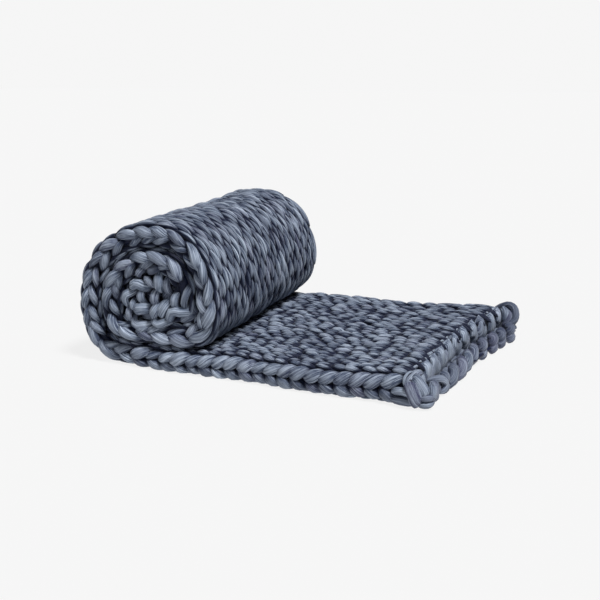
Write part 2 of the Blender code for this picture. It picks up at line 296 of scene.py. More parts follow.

# the blanket's last end, crumpled in the roll's core: each leaf's width, its brightness, the
# points it passes through, measured along X from the roll's middle and up from the floor, and how
# far in from the near edge it lies at its middle; the last four are painted dark as shade, and
# fill the gaps behind
CoreLeaf = namedtuple("CoreLeaf", "wide light points front", defaults=(5,))
CORE_LEAVES = [CoreLeaf(*row) for row in (
    (18, 0.8, ((-63, 142), (-44, 152), (-22, 143))),
    (13, 0.8, ((-32, 159), (-20, 161), (-14, 145))),
    (20, 0.9, ((-2, 173), (1, 157), (-1, 141))),
    (15, 0.2, ((14, 167), (19, 137))),
    (16, 0.5, ((-51, 139), (-69, 128), (-72, 106))),
    (15.5, 0.4, ((-39, 139), (-36, 117))),
    (19.5, 0.5, ((-8, 141), (-10, 117))),
    (16, 0.4, ((-56, 119), (-53, 105))),
    (13, 0.5, ((-65, 108), (-63, 82))),
    (21.5, 0.7, ((-54, 102), (-38, 108), (-22, 108))),
    (20, 0.7, ((-1, 119), (-17, 93))),
    (19.5, 0.6, ((18, 127), (-3, 96))),
    (17.5, 0.6, ((31, 140), (30, 114))),
    (20, 0.8, ((12, 88), (28, 110), (58, 108))),
    (16.5, 0.5, ((-18, 89), (-3, 83), (21, 92))),
    (16.5, 0.6, ((-60, 90), (-48, 77), (-16, 77))),
    (14, 0.1, ((-45, 164), (-33, 180))),
    (16, 0.1, ((-22, 174), (0, 183))),
    (14, 0.4, ((59, 157), (45, 114))),
    (23, 0.0, ((4, 124), (20, 144)), 19),
    (20, 0.0, ((-46, 93), (-14, 92)), 19),
    (22, 0.0, ((33, 91), (62, 108)), 19),
    (18, 0.0, ((52, 128), (63, 104)), 19),
)]
CORE_LEAF_POINTS = 5
CORE_DIP = 14  # how much deeper a leaf's two ends lie, in millimetres
CORE_DIP_POWER = 2.5
CORE_PLUMP = 0.85  # a leaf's thickness, as a share of its width
CORE_FACING = (0.0, -1.0, 0.1)
CORE_TAPER = 0.2
CORE_SHADE = 0.75

# the back of the knitting, where the upper layer is drawn back
PURL = Strand(13.5, 12, (0.0, 0.0, 1.0), stations=9, light=0.1)
PURL_ROWS = 3
FIRST_PURL_ROW = 0.036  # from the strip's end
FIRST_PURL_BUMP = 0.016  # from the near edge
PURL_LINE = ((-13, -2, 2), (-6.5, 0, 10), (6.5, 0, 10), (13, -2, 2))
PURL_LIFT = 3  # every second bump is this much higher, in millimetres

# the thin sheet inside the layers, painted nearly black as shade
GROUND_DEPTH = 0.0115  # below the stitches' outer face
GROUND_THICKNESS = 0.003
GROUND_REACH = 0.478  # on each side of the fold
GROUND_MARGIN = 0.012  # from both cut ends
GROUND_STEPS, GROUND_POINTS = 260, 60

# ---- finish ----
YARN_DARK = (0.036, 0.047, 0.083, 1.0)
YARN_LIGHT = (0.096, 0.129, 0.194, 1.0)
YARN_PURPLE = (0.052, 0.052, 0.104, 1.0)
# painted highlight colour, for the wrinkles' ridges and the tubes' crests
YARN_PAINTED_HIGHLIGHT = (0.51, 0.585, 0.705, 1.0)
# painted shade for the creases of the wrinkles
YARN_CREASE_SHADE = (0.016, 0.026, 0.066, 1.0)
# painted shade, nearly black, for what lies deep below the crests
YARN_DEEP_SHADE = (0.0015, 0.005, 0.025, 1.0)
YARN_SURFACE = {"Roughness": 0.58, "Specular IOR Level": 0.22, "Sheen Weight": 0.06,
                "Sheen Roughness": 0.45}
Wrinkles = namedtuple("Wrinkles", "along around detail roughness bump")
COARSE = Wrinkles(1.4, 3.4, 3.0, 0.6, (0.8, 0.003))  # bump: its strength and depth
FINE = Wrinkles(3.0, 10.0, 2.0, 0.5, (0.55, 0.001))
WRINKLE_START = 300.0  # how far apart the tubes' wrinkles may be taken from the noise
GRAIN_SCALE, GRAIN_DETAIL, GRAIN_BUMP = 900.0, 2.0, (0.35, 0.0003)
Fade = namedtuple("Fade", "start end at_start at_end")
PURPLE_FADE = Fade(0.55, 1.0, 0.0, 0.7)
# where painted shade darkens the coarse wrinkles' creases
CREASE_SHADE_FADE = Fade(0.35, 0.44, 0.75, 0.0)
# painted highlights: on the coarse and fine wrinkles' ridges, and along each tube's crest
COARSE_HIGHLIGHT = Fade(0.51, 0.66, 0.0, 0.65)
FINE_HIGHLIGHT = Fade(0.54, 0.62, 0.0, 0.60)
CREST_HIGHLIGHT = Fade(-0.0016, 0.0, 0.0, 0.34)
LESS_HIGHLIGHT = Fade(0.0, 0.6, 0.25, 1.0)  # the darker lengths of yarn get weaker painted highlights on top
# where painted shade darkens what lies deep below the crests
DEEP_SHADE_FADE = Fade(-0.0064, -0.0034, 0.97, 0.0)

# ---- surroundings ----
WHITE = (1.0, 1.0, 1.0, 1.0)
AMBIENT_STRENGTH = 0.08
BACKDROP = (0.92, 0.92, 0.92, 1.0)
Sun = namedtuple("Sun", "name azimuth elevation strength angle")
SUNS = (Sun("key", 70, 62, 4.2, 14), Sun("fill", 15, 30, 0.5, 40))
SUN_DISTANCE = 3.0
FLOOR_SIZE = 60.0
FLOOR_SURFACE = {"Base Color": (0.07, 0.07, 0.07, 1.0), "Emission Color": WHITE,
                 "Emission Strength": 0.830, "Roughness": 0.9, "Specular IOR Level": 0.0}
CAMERA_TARGET = (0.0083, -0.0403, 0.1000)
CAMERA_DISTANCE = 1.7015
CAMERA_AZIMUTH, CAMERA_ELEVATION = 24.478, 13.638
CAMERA_LENS, CAMERA_SENSOR, CAMERA_CLIP = 55.245, 36.0, 200.0


# ==== the strip's path

def smooth_step(value, low, high):
    """Rise smoothly from 0 at low to 1 at high."""
    part = np.clip((value - low) / (high - low), 0.0, 1.0)
    return part * part * (3.0 - 2.0 * part)


def quarter(flat_x, flat_z, reach_x, reach_z, fullness):
    """Points from the end of a flat run to the widest point of a half turn."""
    angle = np.linspace(0, math.pi / 2, QUARTER_POINTS + 1)
    across = np.sin(angle) ** (2 / fullness)
    up = np.maximum(np.cos(angle), 0) ** (2 / fullness)
    return np.column_stack(
        (flat_x + (reach_x - flat_x) * across, reach_z + (flat_z - reach_z) * up))


def layer_height(level):
    """Height of a turn's middle above the floor."""
    return ROLLED.whole / 2 + level * LAYER_PITCH


Path = namedtuple("Path", "along x z way_x way_z")


def roll_path():
    """The strip's middle line, from beyond the loose end to the core."""
    parts = [[(LOOSE_END_REACH + RUN_OUT, layer_height(0))]]
    for turn in ROLL:
        start_z = layer_height(turn.level)
        end_z = layer_height(turn.end_level)
        parts.append(quarter(turn.start_x, start_z, turn.reach_x, turn.reach_z, turn.start_full))
        closing = quarter(turn.end_x, end_z, turn.reach_x, turn.reach_z, turn.end_full)
        parts.append(closing[::-1])
    parts.append([(CORE_END_X, layer_height(ROLL[-1].end_level))])
    corners = np.concatenate(parts)
    steps = np.hypot(*np.diff(corners, axis=0).T)
    kept = np.concatenate(([True], steps > SAME_PLACE))
    corners = corners[kept]
    gone = np.concatenate(([0], np.cumsum(steps[kept[1:]])))
    even = np.arange(0, gone[-1], PATH_STEP)
    x, z = (np.interp(even, gone, values) for values in corners.T)
    index = np.arange(len(even))
    before = np.maximum(index - DIRECTION_REACH, 0)
    after = np.minimum(index + DIRECTION_REACH, len(even) - 1)
    way_x, way_z = x[after] - x[before], z[after] - z[before]
    length = np.hypot(way_x, way_z)
    return Path(even - RUN_OUT, x, z, way_x / length, way_z / length)


PATH = roll_path()
STRIP_LENGTH = float(PATH.along[-1])


def thickness_at(along):
    """Thickness of the folded strip."""
    x = LOOSE_END_REACH - along
    whole = ROLLED.whole
    for before, after in zip(THICKNESS, THICKNESS[1:]):
        whole = whole + (after.whole - before.whole) * smooth_step(x, before.at, after.at)
    return whole


def lean_at(along):
    """How much further along X the +Y side lies than the -Y side."""
    x = LOOSE_END_REACH - along
    share = np.clip((x - LEAN_FROM_X) / (LOOSE_END_REACH - LEAN_FROM_X), 0.0, 1.0)
    return ROLL_LEAN + (LOOSE_END_LEAN - ROLL_LEAN) * share


def place(along, across, up):
    """Points in space, from the distance along the strip, across it and above its middle."""
    x, z, way_x, way_z = (np.interp(along, PATH.along, values) for values in PATH[1:])
    lift = (thickness_at(along) - ROLLED.whole) / 2
    wave = EDGE_WAVE * np.sin(2 * math.pi * along / EDGE_WAVE_LENGTH)
    side = across / FOLDED_WIDTH + 0.5
    placed = np.stack((
        ROLL_MIDDLE_X + x + way_z * up + lean_at(along) * side,
        STRIP_MIDDLE_Y + across + wave,
        z + lift - way_x * up), axis=-1)
    share = smooth_step(placed[..., 2], SWELL_FROM_Z, SWELL_TO_Z) * np.clip(side, 0, 1) ** 2
    share = share * smooth_step(along, STRETCH_FROM, STRETCH_TO)
    beside = np.maximum(placed[..., 0] - ROLL_MIDDLE_X - ROLL_LEAN * side, 0)
    above = np.maximum(placed[..., 2] - ROLL_MIDDLE_Z, 0)
    placed[..., 0] += SWELL_SIDE * share * beside
    placed[..., 2] += SWELL_UP * share * above
    placed[..., 2] = FLOOR_SOFTNESS * np.logaddexp(0, placed[..., 2] / FLOOR_SOFTNESS)
    return placed


def hairpin(around, height, whole):
    """(across, up) at a distance around the strip's outline and a height above its face.

    around is 0 at the middle of the fold, positive over the face that is up along the floor.
    """
    half = whole / 2
    bend = math.pi / 2 * np.sqrt((FOLD_ROUND ** 2 + half ** 2) / 2)
    distance = np.abs(around)
    sign = np.where(around < 0, -1.0, 1.0)
    angle = np.minimum(distance / bend, 1.0) * math.pi / 2
    flat = np.maximum(distance - bend, 0.0)
    across = -FOLDED_WIDTH / 2 + FOLD_ROUND * (1 - np.cos(angle)) + flat
    up = sign * half * np.sin(angle)
    out_across = -np.cos(angle) / FOLD_ROUND
    out_up = sign * np.sin(angle) / half
    size = np.hypot(out_across, out_up)
    return across + out_across / size * height, up + out_up / size * height


# ==== tubes of yarn

Tubes = namedtuple("Tubes", "rings tone depth")  # rings: tube, station, place around, xyz


def spread(amount, count, rng):
    """A random difference for each tube."""
    return rng.normal(0, amount, (count, 1))


def fall_away(t, hump):
    """0 at the hump's peak, rising to 1 at both ends of a tube."""
    before = np.abs((hump.peak - t) / hump.peak) ** hump.before
    after = np.abs((t - hump.peak) / (1 - hump.peak)) ** hump.after
    return np.where(t < hump.peak, before, after)


def round_ends(t, reach, least):
    """A tube's size along its length: 1, and less at its two rounded ends."""
    beyond = np.clip(np.abs(2 * t - 1) - END_FROM, 0, 1) / reach
    return np.sqrt(np.clip(1 - beyond ** 2, least, 1))


def tones_for(count, rng, light=0.5, purple=0.5):
    """Brightness, purple share and a random place in the wrinkles, for each tube."""
    return np.stack((rng.normal(light, LIGHT_SPREAD, count),
                     rng.normal(purple, PURPLE_SPREAD, count),
                     rng.uniform(0, 1, count), np.ones(count)), axis=-1).clip(0, 1)


def yarn_rings(middle, wide, thick, sides, rng, facing=(0.0, 0.0, 1.0)):
    """Rings round many centre lines at once. wide is measured square to facing."""
    count, stations, _ = middle.shape
    tangent = np.gradient(middle, axis=1)
    tangent /= np.linalg.norm(tangent, axis=-1, keepdims=True)
    sideways = np.cross(np.asarray(facing), tangent)
    sideways /= np.linalg.norm(sideways, axis=-1, keepdims=True)
    lift = np.cross(tangent, sideways)
    turn = np.linspace(0, 2 * math.pi, sides, endpoint=False)
    drift = np.linspace(0, 1, stations)[None, :, None]
    phase = rng.uniform(0, 2 * math.pi, (count, 1, 1, 3))
    slip = rng.uniform(-LOBE_SLIP, LOBE_SLIP, (count, 1, 1))
    lobes = 1 + LOBES[0] * np.cos(3 * turn + phase[..., 0] + slip * drift)
    lobes = lobes + LOBES[1] * np.cos(5 * turn + phase[..., 1] - slip * drift)
    across = (wide[..., None] / 2 * np.cos(turn) * lobes)[..., None]
    upward = (thick[..., None] / 2 * np.sin(turn) * lobes)[..., None]
    return middle[:, :, None] + sideways[:, :, None] * across + lift[:, :, None] * upward


def tube_faces(stations, sides):
    """The faces of one tube, whose last two vertices are the tips of its two ends."""
    spot = np.arange(sides)
    beside = (spot + 1) % sides
    here = sides * np.arange(stations - 1)[:, None]
    there = here + sides
    quads = np.stack((here + spot, here + beside, there + beside, there + spot), axis=-1)
    first_tip = np.full(sides, stations * sides)
    last_ring = (stations - 1) * sides
    tips = np.stack((first_tip, beside, spot,
                     first_tip + 1, last_ring + spot, last_ring + beside), axis=-1)
    return quads.reshape(-1, 4), tips.reshape(-1, 3)


def numbered_faces(points, stations, sides, start):
    """All the tubes' quads and tips, facing outwards and numbered from start."""
    count, each, _ = points.shape
    shapes = tube_faces(stations, sides)
    corner = points[:, shapes[0]]
    normal = np.cross(corner[:, :, 2] - corner[:, :, 0], corner[:, :, 3] - corner[:, :, 1])
    centre = points.mean(axis=1, keepdims=True)
    outward = np.einsum("tqk,tqk->t", normal, corner.mean(axis=2) - centre)
    offset = (start + np.arange(count) * each)[:, None, None]
    numbered = []
    for shape in shapes:
        faces = shape[None] + offset
        faces[outward < 0] = faces[outward < 0][:, :, ::-1]
        numbered.append(faces.reshape(-1, shape.shape[1]))
    return numbered


def with_tips(values):
    """Each tube's values ring by ring, and then the means of its first and last rings."""
    ends = np.stack((values[:, 0].mean(axis=1), values[:, -1].mean(axis=1)), axis=1)
    return np.concatenate((values.reshape(len(values), -1, *values.shape[3:]), ends), axis=1)


def tube_places(stations, sides):
    """How far along its tube and how far round it each vertex is, from 0 to 1."""
    along = np.repeat(np.linspace(0, 1, stations), sides)
    around = np.tile(np.arange(sides) / sides, stations)
    return np.append(np.stack((along, around), axis=-1), [[0.0, 0.5], [1.0, 0.5]], axis=0)


def mesh_object(name, vertices, faces, tones, lines, material):
    """An object that stores what its material needs at each vertex: its tone, and its place
    along the yarn, round it and below the stitches' crests."""
    mesh = bpy.data.meshes.new(name)
    mesh.from_pydata(vertices, [], faces, shade_flat=False)
    for layer, kind, part, values in (("tone", "FLOAT_COLOR", "color", tones),
                                      ("yarn_line", "FLOAT_VECTOR", "vector", lines)):
        stored = mesh.attributes.new(layer, kind, "POINT")
        stored.data.foreach_set(part, values.astype(np.float32).ravel())
    mesh.materials.append(material)
    item = bpy.data.objects.new(name, mesh)
    bpy.context.collection.objects.link(item)
    return item


def yarn_object(name, batches, material):
    """One object from batches of tubes. Each tube is closed, with its faces outwards."""
    parts = []
    start = 0
    for rings, tone, depth in batches:
        count, stations, sides, _ = rings.shape
        points = with_tips(rings)
        each = points.shape[1]
        quads, tips = numbered_faces(points, stations, sides, start)
        places = np.tile(tube_places(stations, sides), (count, 1))
        lines = np.column_stack((places, with_tips(depth).ravel()))
        parts.append((points.reshape(-1, 3), quads, tips, np.repeat(tone, each, axis=0), lines))
        start += count * each
    vertices, quads, tips, tones, lines = (np.concatenate(part) for part in zip(*parts))
    return mesh_object(name, vertices, quads.tolist() + tips.tolist(), tones, lines, material)


# ==== stitches

Legs = namedtuple("Legs", "apex wale hand")  # arrays, one entry for each leg


def stretch_at(along):
    """How much longer the courses are than when the knitting lies loose."""
    return 1 + (ROLLED_STRETCH - 1) * smooth_step(along, STRETCH_FROM, STRETCH_TO)


def column_drift(column):
    """How far along the strip a column of stitches has been pulled."""
    return WALE_DRIFT * sum(size * math.sin(pace * column + start)
                            for size, pace, start in DRIFT_WAVES)


def upper_end(around):
    """How far along the strip the upper layer ends, at a distance around it."""
    return UPPER_END + UPPER_END_HOLLOW * math.sin(math.pi * around / FOLDED_WIDTH) ** 2


def first_apex(column, around):
    """How far along the strip a column's first V has its point."""
    if column == 0:
        return FIRST_FOLD_COURSE
    return FIRST_COURSE + (upper_end(around) if column > 0 else LOWER_END)


def legs_of(wales, first, last):
    """The legs of some columns of stitches, between two distances along the strip.

    Each of wales is a column's number and its distance around the strip.
    """
    points = []
    for column, around in wales:
        at = first_apex(column, around)
        while at < STRIP_LENGTH:
            if first <= at < last:
                shift = column_drift(column) * float(smooth_step(at, DRIFT_FROM, DRIFT_TO))
                points.append((at + shift, around))
            at += COURSE * float(stretch_at(at))
    apex, wale = np.repeat(points, 2, axis=0).T
    return Legs(apex, wale, np.tile((-1.0, 1.0), len(points)))


def one_side(legs, hand):
    """Only the legs on one side of their columns."""
    kept = legs.hand == hand
    return Legs(*(values[kept] for values in legs))


def stitch_legs(legs, style, stations, sides, rng):
    """The tubes of the legs, laid on the strip."""
    count = len(legs.apex)
    t = np.linspace(0, 1, stations)[None, :]
    course = COURSE * stretch_at(legs.apex)
    slip = course * (style.stagger * legs.hand / 2 + rng.normal(0, style.uneven, count))
    long = style.length * course[:, None] * (1 + spread(LENGTH_SPREAD, count, rng))
    sweep = (1 - LEG_SWEEP) * t + LEG_SWEEP * smooth_step(t, 0, 1)
    sideways = style.near + (style.far - style.near) * sweep + spread(SIDE_SPREAD, count, rng)
    sideways = sideways + spread(DIRECTION_SPREAD, count, rng) * (t - LEG_PIVOT)
    height = style.crest - style.dip * fall_away(t, LEG_RISE) + spread(HEIGHT_SPREAD, count, rng)
    middle = np.stack((long * t, sideways, height), axis=-1)
    plump = 1 - style.slim * fall_away(t, LEG_PLUMP)
    fullness = plump * round_ends(t, LEG_END, LEG_END_LEAST)
    fullness = fullness * (1 + spread(PLUMP_SPREAD, count, rng))
    rings = yarn_rings(middle, style.wide * fullness, style.thick * fullness, sides, rng)
    along = (legs.apex + slip)[:, None, None] - rings[..., 0]
    around = legs.wale[:, None, None] + legs.hand[:, None, None] * rings[..., 1]
    across, up = hairpin(around, rings[..., 2], thickness_at(along))
    # how far below its crest each point lies, scaled by shade: it sets the painted shade and the
    # crest's painted highlight
    depth = (rings[..., 2] - style.crest - style.thick / 2) * style.shade
    return Tubes(place(along, across, up), tones_for(count, rng, style.light), depth)


def edge_bumps(rng):
    """The long bumps along the two layers' free edges."""
    bumps = []
    for layer in (1.0, -1.0):
        at = UPPER_END if layer > 0 else LOWER_END
        while at < STRIP_LENGTH:
            at += 2 * COURSE * float(stretch_at(at))
            apex = min(at + EDGE_AHEAD, STRIP_LENGTH - EDGE_SHORT)
            bumps.append((apex, layer, EDGE_LENGTH * COURSE * float(stretch_at(at))))
    apex, level, size = np.array(bumps).T[:, :, None]
    count = len(apex)
    t = np.linspace(0, 1, EDGE_POINTS)[None, :]
    climb = EDGE_SLANT * (1 - 2 * t) * level + spread(EDGE_SPREAD, count, rng)
    height = EDGE_CREST - EDGE_DIP * fall_away(t, EDGE_RISE) + spread(EDGE_SPREAD, count, rng)
    middle = np.stack((size * t, climb, height), axis=-1)
    peak = EDGE_RISE.peak
    plump = 1 - EDGE_TAPER * np.abs((t - peak) / (1 - peak)) ** EDGE_RISE.after
    plump = plump * (1 + spread(EDGE_PLUMP_SPREAD, count, rng))
    rings = yarn_rings(middle, EDGE_WIDE * plump, EDGE_THICK * plump, EDGE_POINTS, rng)
    along = apex[:, :, None] - rings[..., 0]
    up = level[:, :, None] * thickness_at(along) / 4 + rings[..., 1]
    # how far below its crest each point lies, scaled by shade: it sets the painted shade and the
    # crest's painted highlight
    depth = (rings[..., 2] - EDGE_CREST - EDGE_THICK / 2) * EDGE_SHADE
    return [Tubes(place(along, rings[..., 2], up), tones_for(count, rng), depth)]


# ==== loose yarn

def smooth_line(points, stations):
    """A smooth curve through a few points, with more stations near its two ends."""
    points = np.asarray(points, float)
    padded = np.concatenate(([2 * points[0] - points[1]], points, [2 * points[-1] - points[-2]]))
    fine = []
    for index in range(1, len(padded) - 2):
        p0, p1, p2, p3 = padded[index - 1:index + 3]
        for t in np.linspace(0, 1, SPLINE_STEPS, endpoint=False):
            fine.append(0.5 * (2 * p1 + (p2 - p0) * t + (2 * p0 - 5 * p1 + 4 * p2 - p3) * t ** 2
                               + (3 * p1 - p0 - 3 * p2 + p3) * t ** 3))
    fine.append(points[-1])
    fine = np.array(fine)
    gone = np.concatenate(([0], np.cumsum(np.linalg.norm(np.diff(fine, axis=0), axis=1))))
    even = gone[-1] * (0.5 - 0.5 * np.cos(np.linspace(0, math.pi, stations)))
    return np.stack([np.interp(even, gone, fine[:, axis]) for axis in range(3)], axis=-1)


def line_at_end(end, across, points):
    """Points beside the place where a layer ends, outwards from it and above the floor."""
    line = []
    for beside, out, height in MILLIMETRE * np.array(points):
        along = end - out
        line.append(place(along, across + beside, height - thickness_at(along) / 2))
    return line


def line_from_corner(points):
    """Points measured from the roll's middle, the near edge and the floor, in the CAD frame."""
    corner = (ROLL_MIDDLE_X, STRIP_MIDDLE_Y - FOLDED_WIDTH / 2, 0.0)
    return corner + MILLIMETRE * np.array(points)


def loose_yarn(lines, strand, rng):
    """Tubes along lines of points, with painted shade on the side turned away from the strand's
    facing.
    """
    middle = np.array([smooth_line(line, strand.stations) for line in lines])
    count = len(middle)
    t = 0.5 - 0.5 * np.cos(np.linspace(0, math.pi, strand.stations))[None, :]
    plump = 1 - strand.taper * np.abs(2 * t - 1) ** STRAND_TAPER_POWER
    size = plump * round_ends(t, STRAND_END, STRAND_END_LEAST)
    size = size * (1 + spread(STRAND_SPREAD, count, rng))
    wide, thick = (MILLIMETRE * np.asarray(full) for full in (strand.wide, strand.thick))
    rings = yarn_rings(middle, wide * size, thick * size, STRAND_POINTS, rng, strand.facing)
    rings[..., 2] = np.maximum(rings[..., 2], STRAND_FLOOR)
    # how far each point lies towards the hidden side, scaled by shade: it sets the painted shade
    # there
    outward = np.asarray(strand.facing) / np.linalg.norm(strand.facing)
    depth = (rings - middle[:, :, None]) @ outward - thick[..., None] / 2
    return Tubes(rings, tones_for(count, rng, strand.light, strand.purple), depth * strand.shade)


def upper_straps(rng):
    """The cast-off edge of the upper layer: straps over its end, and a chain behind them."""
    straps, between, chain = [], [], []
    for number in range(-1, STRAPS):
        side = FIRST_STRAP + STRAP_PITCH * number + rng.normal(0, STRAP_PLACE_SPREAD)
        across = side - FOLDED_WIDTH / 2
        end = upper_end(side)
        foot = LONG_FOOT if number in LONG_STRAPS else SHORT_FOOT
        slant = SLANTED_STRAP_SLANT
        if number != SLANTED_STRAP:
            slant = rng.normal(STRAP_SLANT, STRAP_SLANT_SPREAD)
        if number >= 0:
            straps.append(line_at_end(end, across, (
                (0, -8, 36), (0, -6, 46.5), (0, -1, 52), (0, 3.2, 48.5), (slant * 0.3, 4.5, 40),
                (slant * 0.7, 4, (36 + foot) / 2), (slant, -1, foot))))
        between += [line_at_end(end, across, points) for points in BETWEEN_LINES]
        # the last link would stick out past the far edge
        links = CHAIN_LINES if number < STRAPS - 1 else CHAIN_LINES[:1]
        chain += [line_at_end(end, across, points) for points in links]
    return [loose_yarn(straps, STRAP, rng), loose_yarn(between, BETWEEN, rng),
            loose_yarn(chain, CHAIN, rng)]


def lower_end_leaves(rng):
    """The cast-off edge of the lower layer: big leaves, in two rows towards the far side."""
    tall, loops, upper, under = [], [], [], []
    for number in range(LEAVES):
        side = FIRST_LEAF + LEAF_PITCH * number + rng.normal(0, LEAF_PLACE_SPREAD)
        share = side / FOLDED_WIDTH
        back = LEAF_BACK + LEAF_HOLLOW * math.exp(-((share - 0.5) / LEAF_HOLLOW_WIDTH) ** 2)
        back -= LEAF_FORWARD * float(smooth_step(share, *LEAF_FORWARD_FROM_TO))
        if number == LOOP_LEAF:
            leaves = [(loops, LOOP_LINE), (under, UNDER_LOOP_LINE)]
        elif number < TALL_LEAVES:
            leaves = [(tall, TALL_LINE)]
        else:
            leaves = [(upper, UPPER_LINE), (under, UNDER_LINE)]
        leaves += [(upper, UPPER_BETWEEN_LINE), (under, UNDER_BETWEEN_LINE)]
        for lines, points in leaves:
            lines.append(line_at_end(back, side - FOLDED_WIDTH / 2, points))
    return [loose_yarn(lines, strand, rng) for lines, strand in
            ((tall, TALL), (loops, LOOP), (upper, UPPER), (under, UNDER))]


def purl_bumps(rng):
    """The back of the knitting, seen where the upper layer is drawn back."""
    lines = []
    for row in range(PURL_ROWS):
        for column in range(2 * SIDE_WALES + 1):
            across = -FOLDED_WIDTH / 2 + FIRST_PURL_BUMP + WALE / 2 * column
            points = np.add(PURL_LINE, (0, 0, PURL_LIFT * ((row + column) % 2)))
            lines.append(line_at_end(FIRST_PURL_ROW + COURSE / 2 * row, across, points))
    return [loose_yarn(lines, PURL, rng)]


def core_end(rng):
    """The blanket's last end, crumpled in the roll's core."""
    lines = []
    for leaf in CORE_LEAVES:
        points = np.array(leaf.points)
        gone = np.linspace(0, 1, len(points))
        share = np.linspace(0, 1, CORE_LEAF_POINTS)
        inwards = leaf.front + CORE_DIP * np.abs(2 * share - 1) ** CORE_DIP_POWER
        x, z = (np.interp(share, gone, values) for values in points.T)
        lines.append(line_from_corner(np.column_stack((x, inwards, z))))
    wide = np.array([[leaf.wide] for leaf in CORE_LEAVES])
    light = np.array([leaf.light for leaf in CORE_LEAVES])
    strand = Strand(
        wide, wide * CORE_PLUMP, CORE_FACING, taper=CORE_TAPER, light=light, shade=CORE_SHADE)
    return [loose_yarn(lines, strand, rng)]


def knot(strands, rng):
    """An end of the yarn, tied round a corner of the loose end."""
    return [loose_yarn([line_from_corner(points) for points in lines], strand, rng)
            for strand, lines in strands]


# ==== material

def connect(tree, node, inputs):
    """The node, once each of its inputs has a value or is joined to another node's output."""
    for socket, value in inputs.items():
        if isinstance(value, bpy.types.NodeSocket):
            tree.links.new(value, node.inputs[socket])
        else:
            node.inputs[socket].default_value = value
    return node


def add_node(tree, kind, inputs):
    """A new shader node with its inputs."""
    return connect(tree, tree.nodes.new("ShaderNode" + kind), inputs)


def attribute(tree, name):
    """What mesh_object stored at each vertex under a name."""
    node = tree.nodes.new("ShaderNodeAttribute")
    node.attribute_name = name
    return node.outputs


def calculate(tree, operation, *values):
    """The result of one sum."""
    node = tree.nodes.new("ShaderNodeMath")
    node.operation = operation
    return connect(tree, node, dict(enumerate(values))).outputs[0]


def blend(tree, factor, first, second):
    """The first colour, going over to the second as the factor rises to 1."""
    node = tree.nodes.new("ShaderNodeMix")
    node.data_type = "RGBA"
    return connect(tree, node, {"Factor": factor, "A": first, "B": second}).outputs["Result"]


def noise(tree, vector, scale, detail, roughness=0.5):
    """Cloudy noise from 0 to 1."""
    return add_node(tree, "TexNoise", {
        "Vector": vector, "Scale": scale, "Detail": detail, "Roughness": roughness}
    ).outputs["Fac"]


def faded(tree, value, fade):
    """The fade's first share up to its start, its last from its end on, and even between."""
    return add_node(tree, "MapRange", {
        "Value": value, "From Min": fade.start, "From Max": fade.end,
        "To Min": fade.at_start, "To Max": fade.at_end}).outputs["Result"]


def wrinkled(tree, line, start, wrinkles):
    """Noise that runs along each tube, and round it in a circle, so that it has no seam."""
    angle = calculate(tree, "MULTIPLY", line["Y"], 2 * math.pi)
    waves = [calculate(tree, "MULTIPLY", calculate(tree, wave, angle), wrinkles.around)
             for wave in ("COSINE", "SINE")]
    begin = calculate(tree, "MULTIPLY", start, WRINKLE_START)
    length = calculate(tree, "MULTIPLY_ADD", line["X"], wrinkles.along, begin)
    vector = add_node(tree, "CombineXYZ", {"X": length, "Y": waves[0], "Z": waves[1]})
    return noise(tree, vector.outputs["Vector"], 1.0, wrinkles.detail, wrinkles.roughness)


def yarn_colour(tree, tone, depth, coarse, fine):
    """Each tube's own blue, with painted shade in its wrinkles' creases and below its crest, and
    painted highlights on its wrinkles' ridges and along its crest.
    """
    body = blend(tree, tone["Red"], YARN_DARK, YARN_LIGHT)
    body = blend(tree, faded(tree, tone["Green"], PURPLE_FADE), body, YARN_PURPLE)
    # painted shade in the coarse wrinkles' creases
    body = blend(tree, faded(tree, coarse, CREASE_SHADE_FADE), body, YARN_CREASE_SHADE)
    # painted highlights on the wrinkles' ridges and along each tube's crest, weaker on darker yarn
    less_highlight = faded(tree, tone["Red"], LESS_HIGHLIGHT)
    for value, fade in ((coarse, COARSE_HIGHLIGHT), (fine, FINE_HIGHLIGHT), (depth, CREST_HIGHLIGHT)):
        amount = calculate(tree, "MULTIPLY", faded(tree, value, fade), less_highlight)
        body = blend(tree, amount, body, YARN_PAINTED_HIGHLIGHT)
    # painted shade deep below the crests, in the slits between the stitches
    return blend(tree, faded(tree, depth, DEEP_SHADE_FADE), body, YARN_DEEP_SHADE)


def yarn_material():
    """Slate-blue cotton jersey pulled into a tube, with fine lengthwise wrinkles."""
    material = bpy.data.materials.new("yarn")
    material.use_nodes = True
    tree = material.node_tree
    tone = add_node(tree, "SeparateColor", {"Color": attribute(tree, "tone")["Color"]}).outputs
    line = add_node(tree, "SeparateXYZ", {"Vector": attribute(tree, "yarn_line")["Vector"]}).outputs
    coarse = wrinkled(tree, line, tone["Blue"], COARSE)
    fine = wrinkled(tree, line, tone["Blue"], FINE)
    spot = tree.nodes.new("ShaderNodeTexCoord").outputs["Object"]
    grain = noise(tree, spot, GRAIN_SCALE, GRAIN_DETAIL)
    normal = {}
    for height, (strength, depth) in ((coarse, COARSE.bump), (fine, FINE.bump), (grain, GRAIN_BUMP)):
        bump = {"Height": height, "Strength": strength, "Distance": depth}
        node = add_node(tree, "Bump", {**bump, **normal})
        normal = {"Normal": node.outputs["Normal"]}
    colour = yarn_colour(tree, tone, line["Z"], coarse, fine)
    connect(tree, tree.nodes["Principled BSDF"], {"Base Color": colour, **normal, **YARN_SURFACE})
    return material


# ==== light and camera

def direction(azimuth, elevation):
    """Towards a place in the distance. Azimuth 0 is at -Y and 90 at +X."""
    a, e = math.radians(azimuth), math.radians(elevation)
    return Vector((math.sin(a) * math.cos(e), -math.cos(a) * math.cos(e), math.sin(e)))


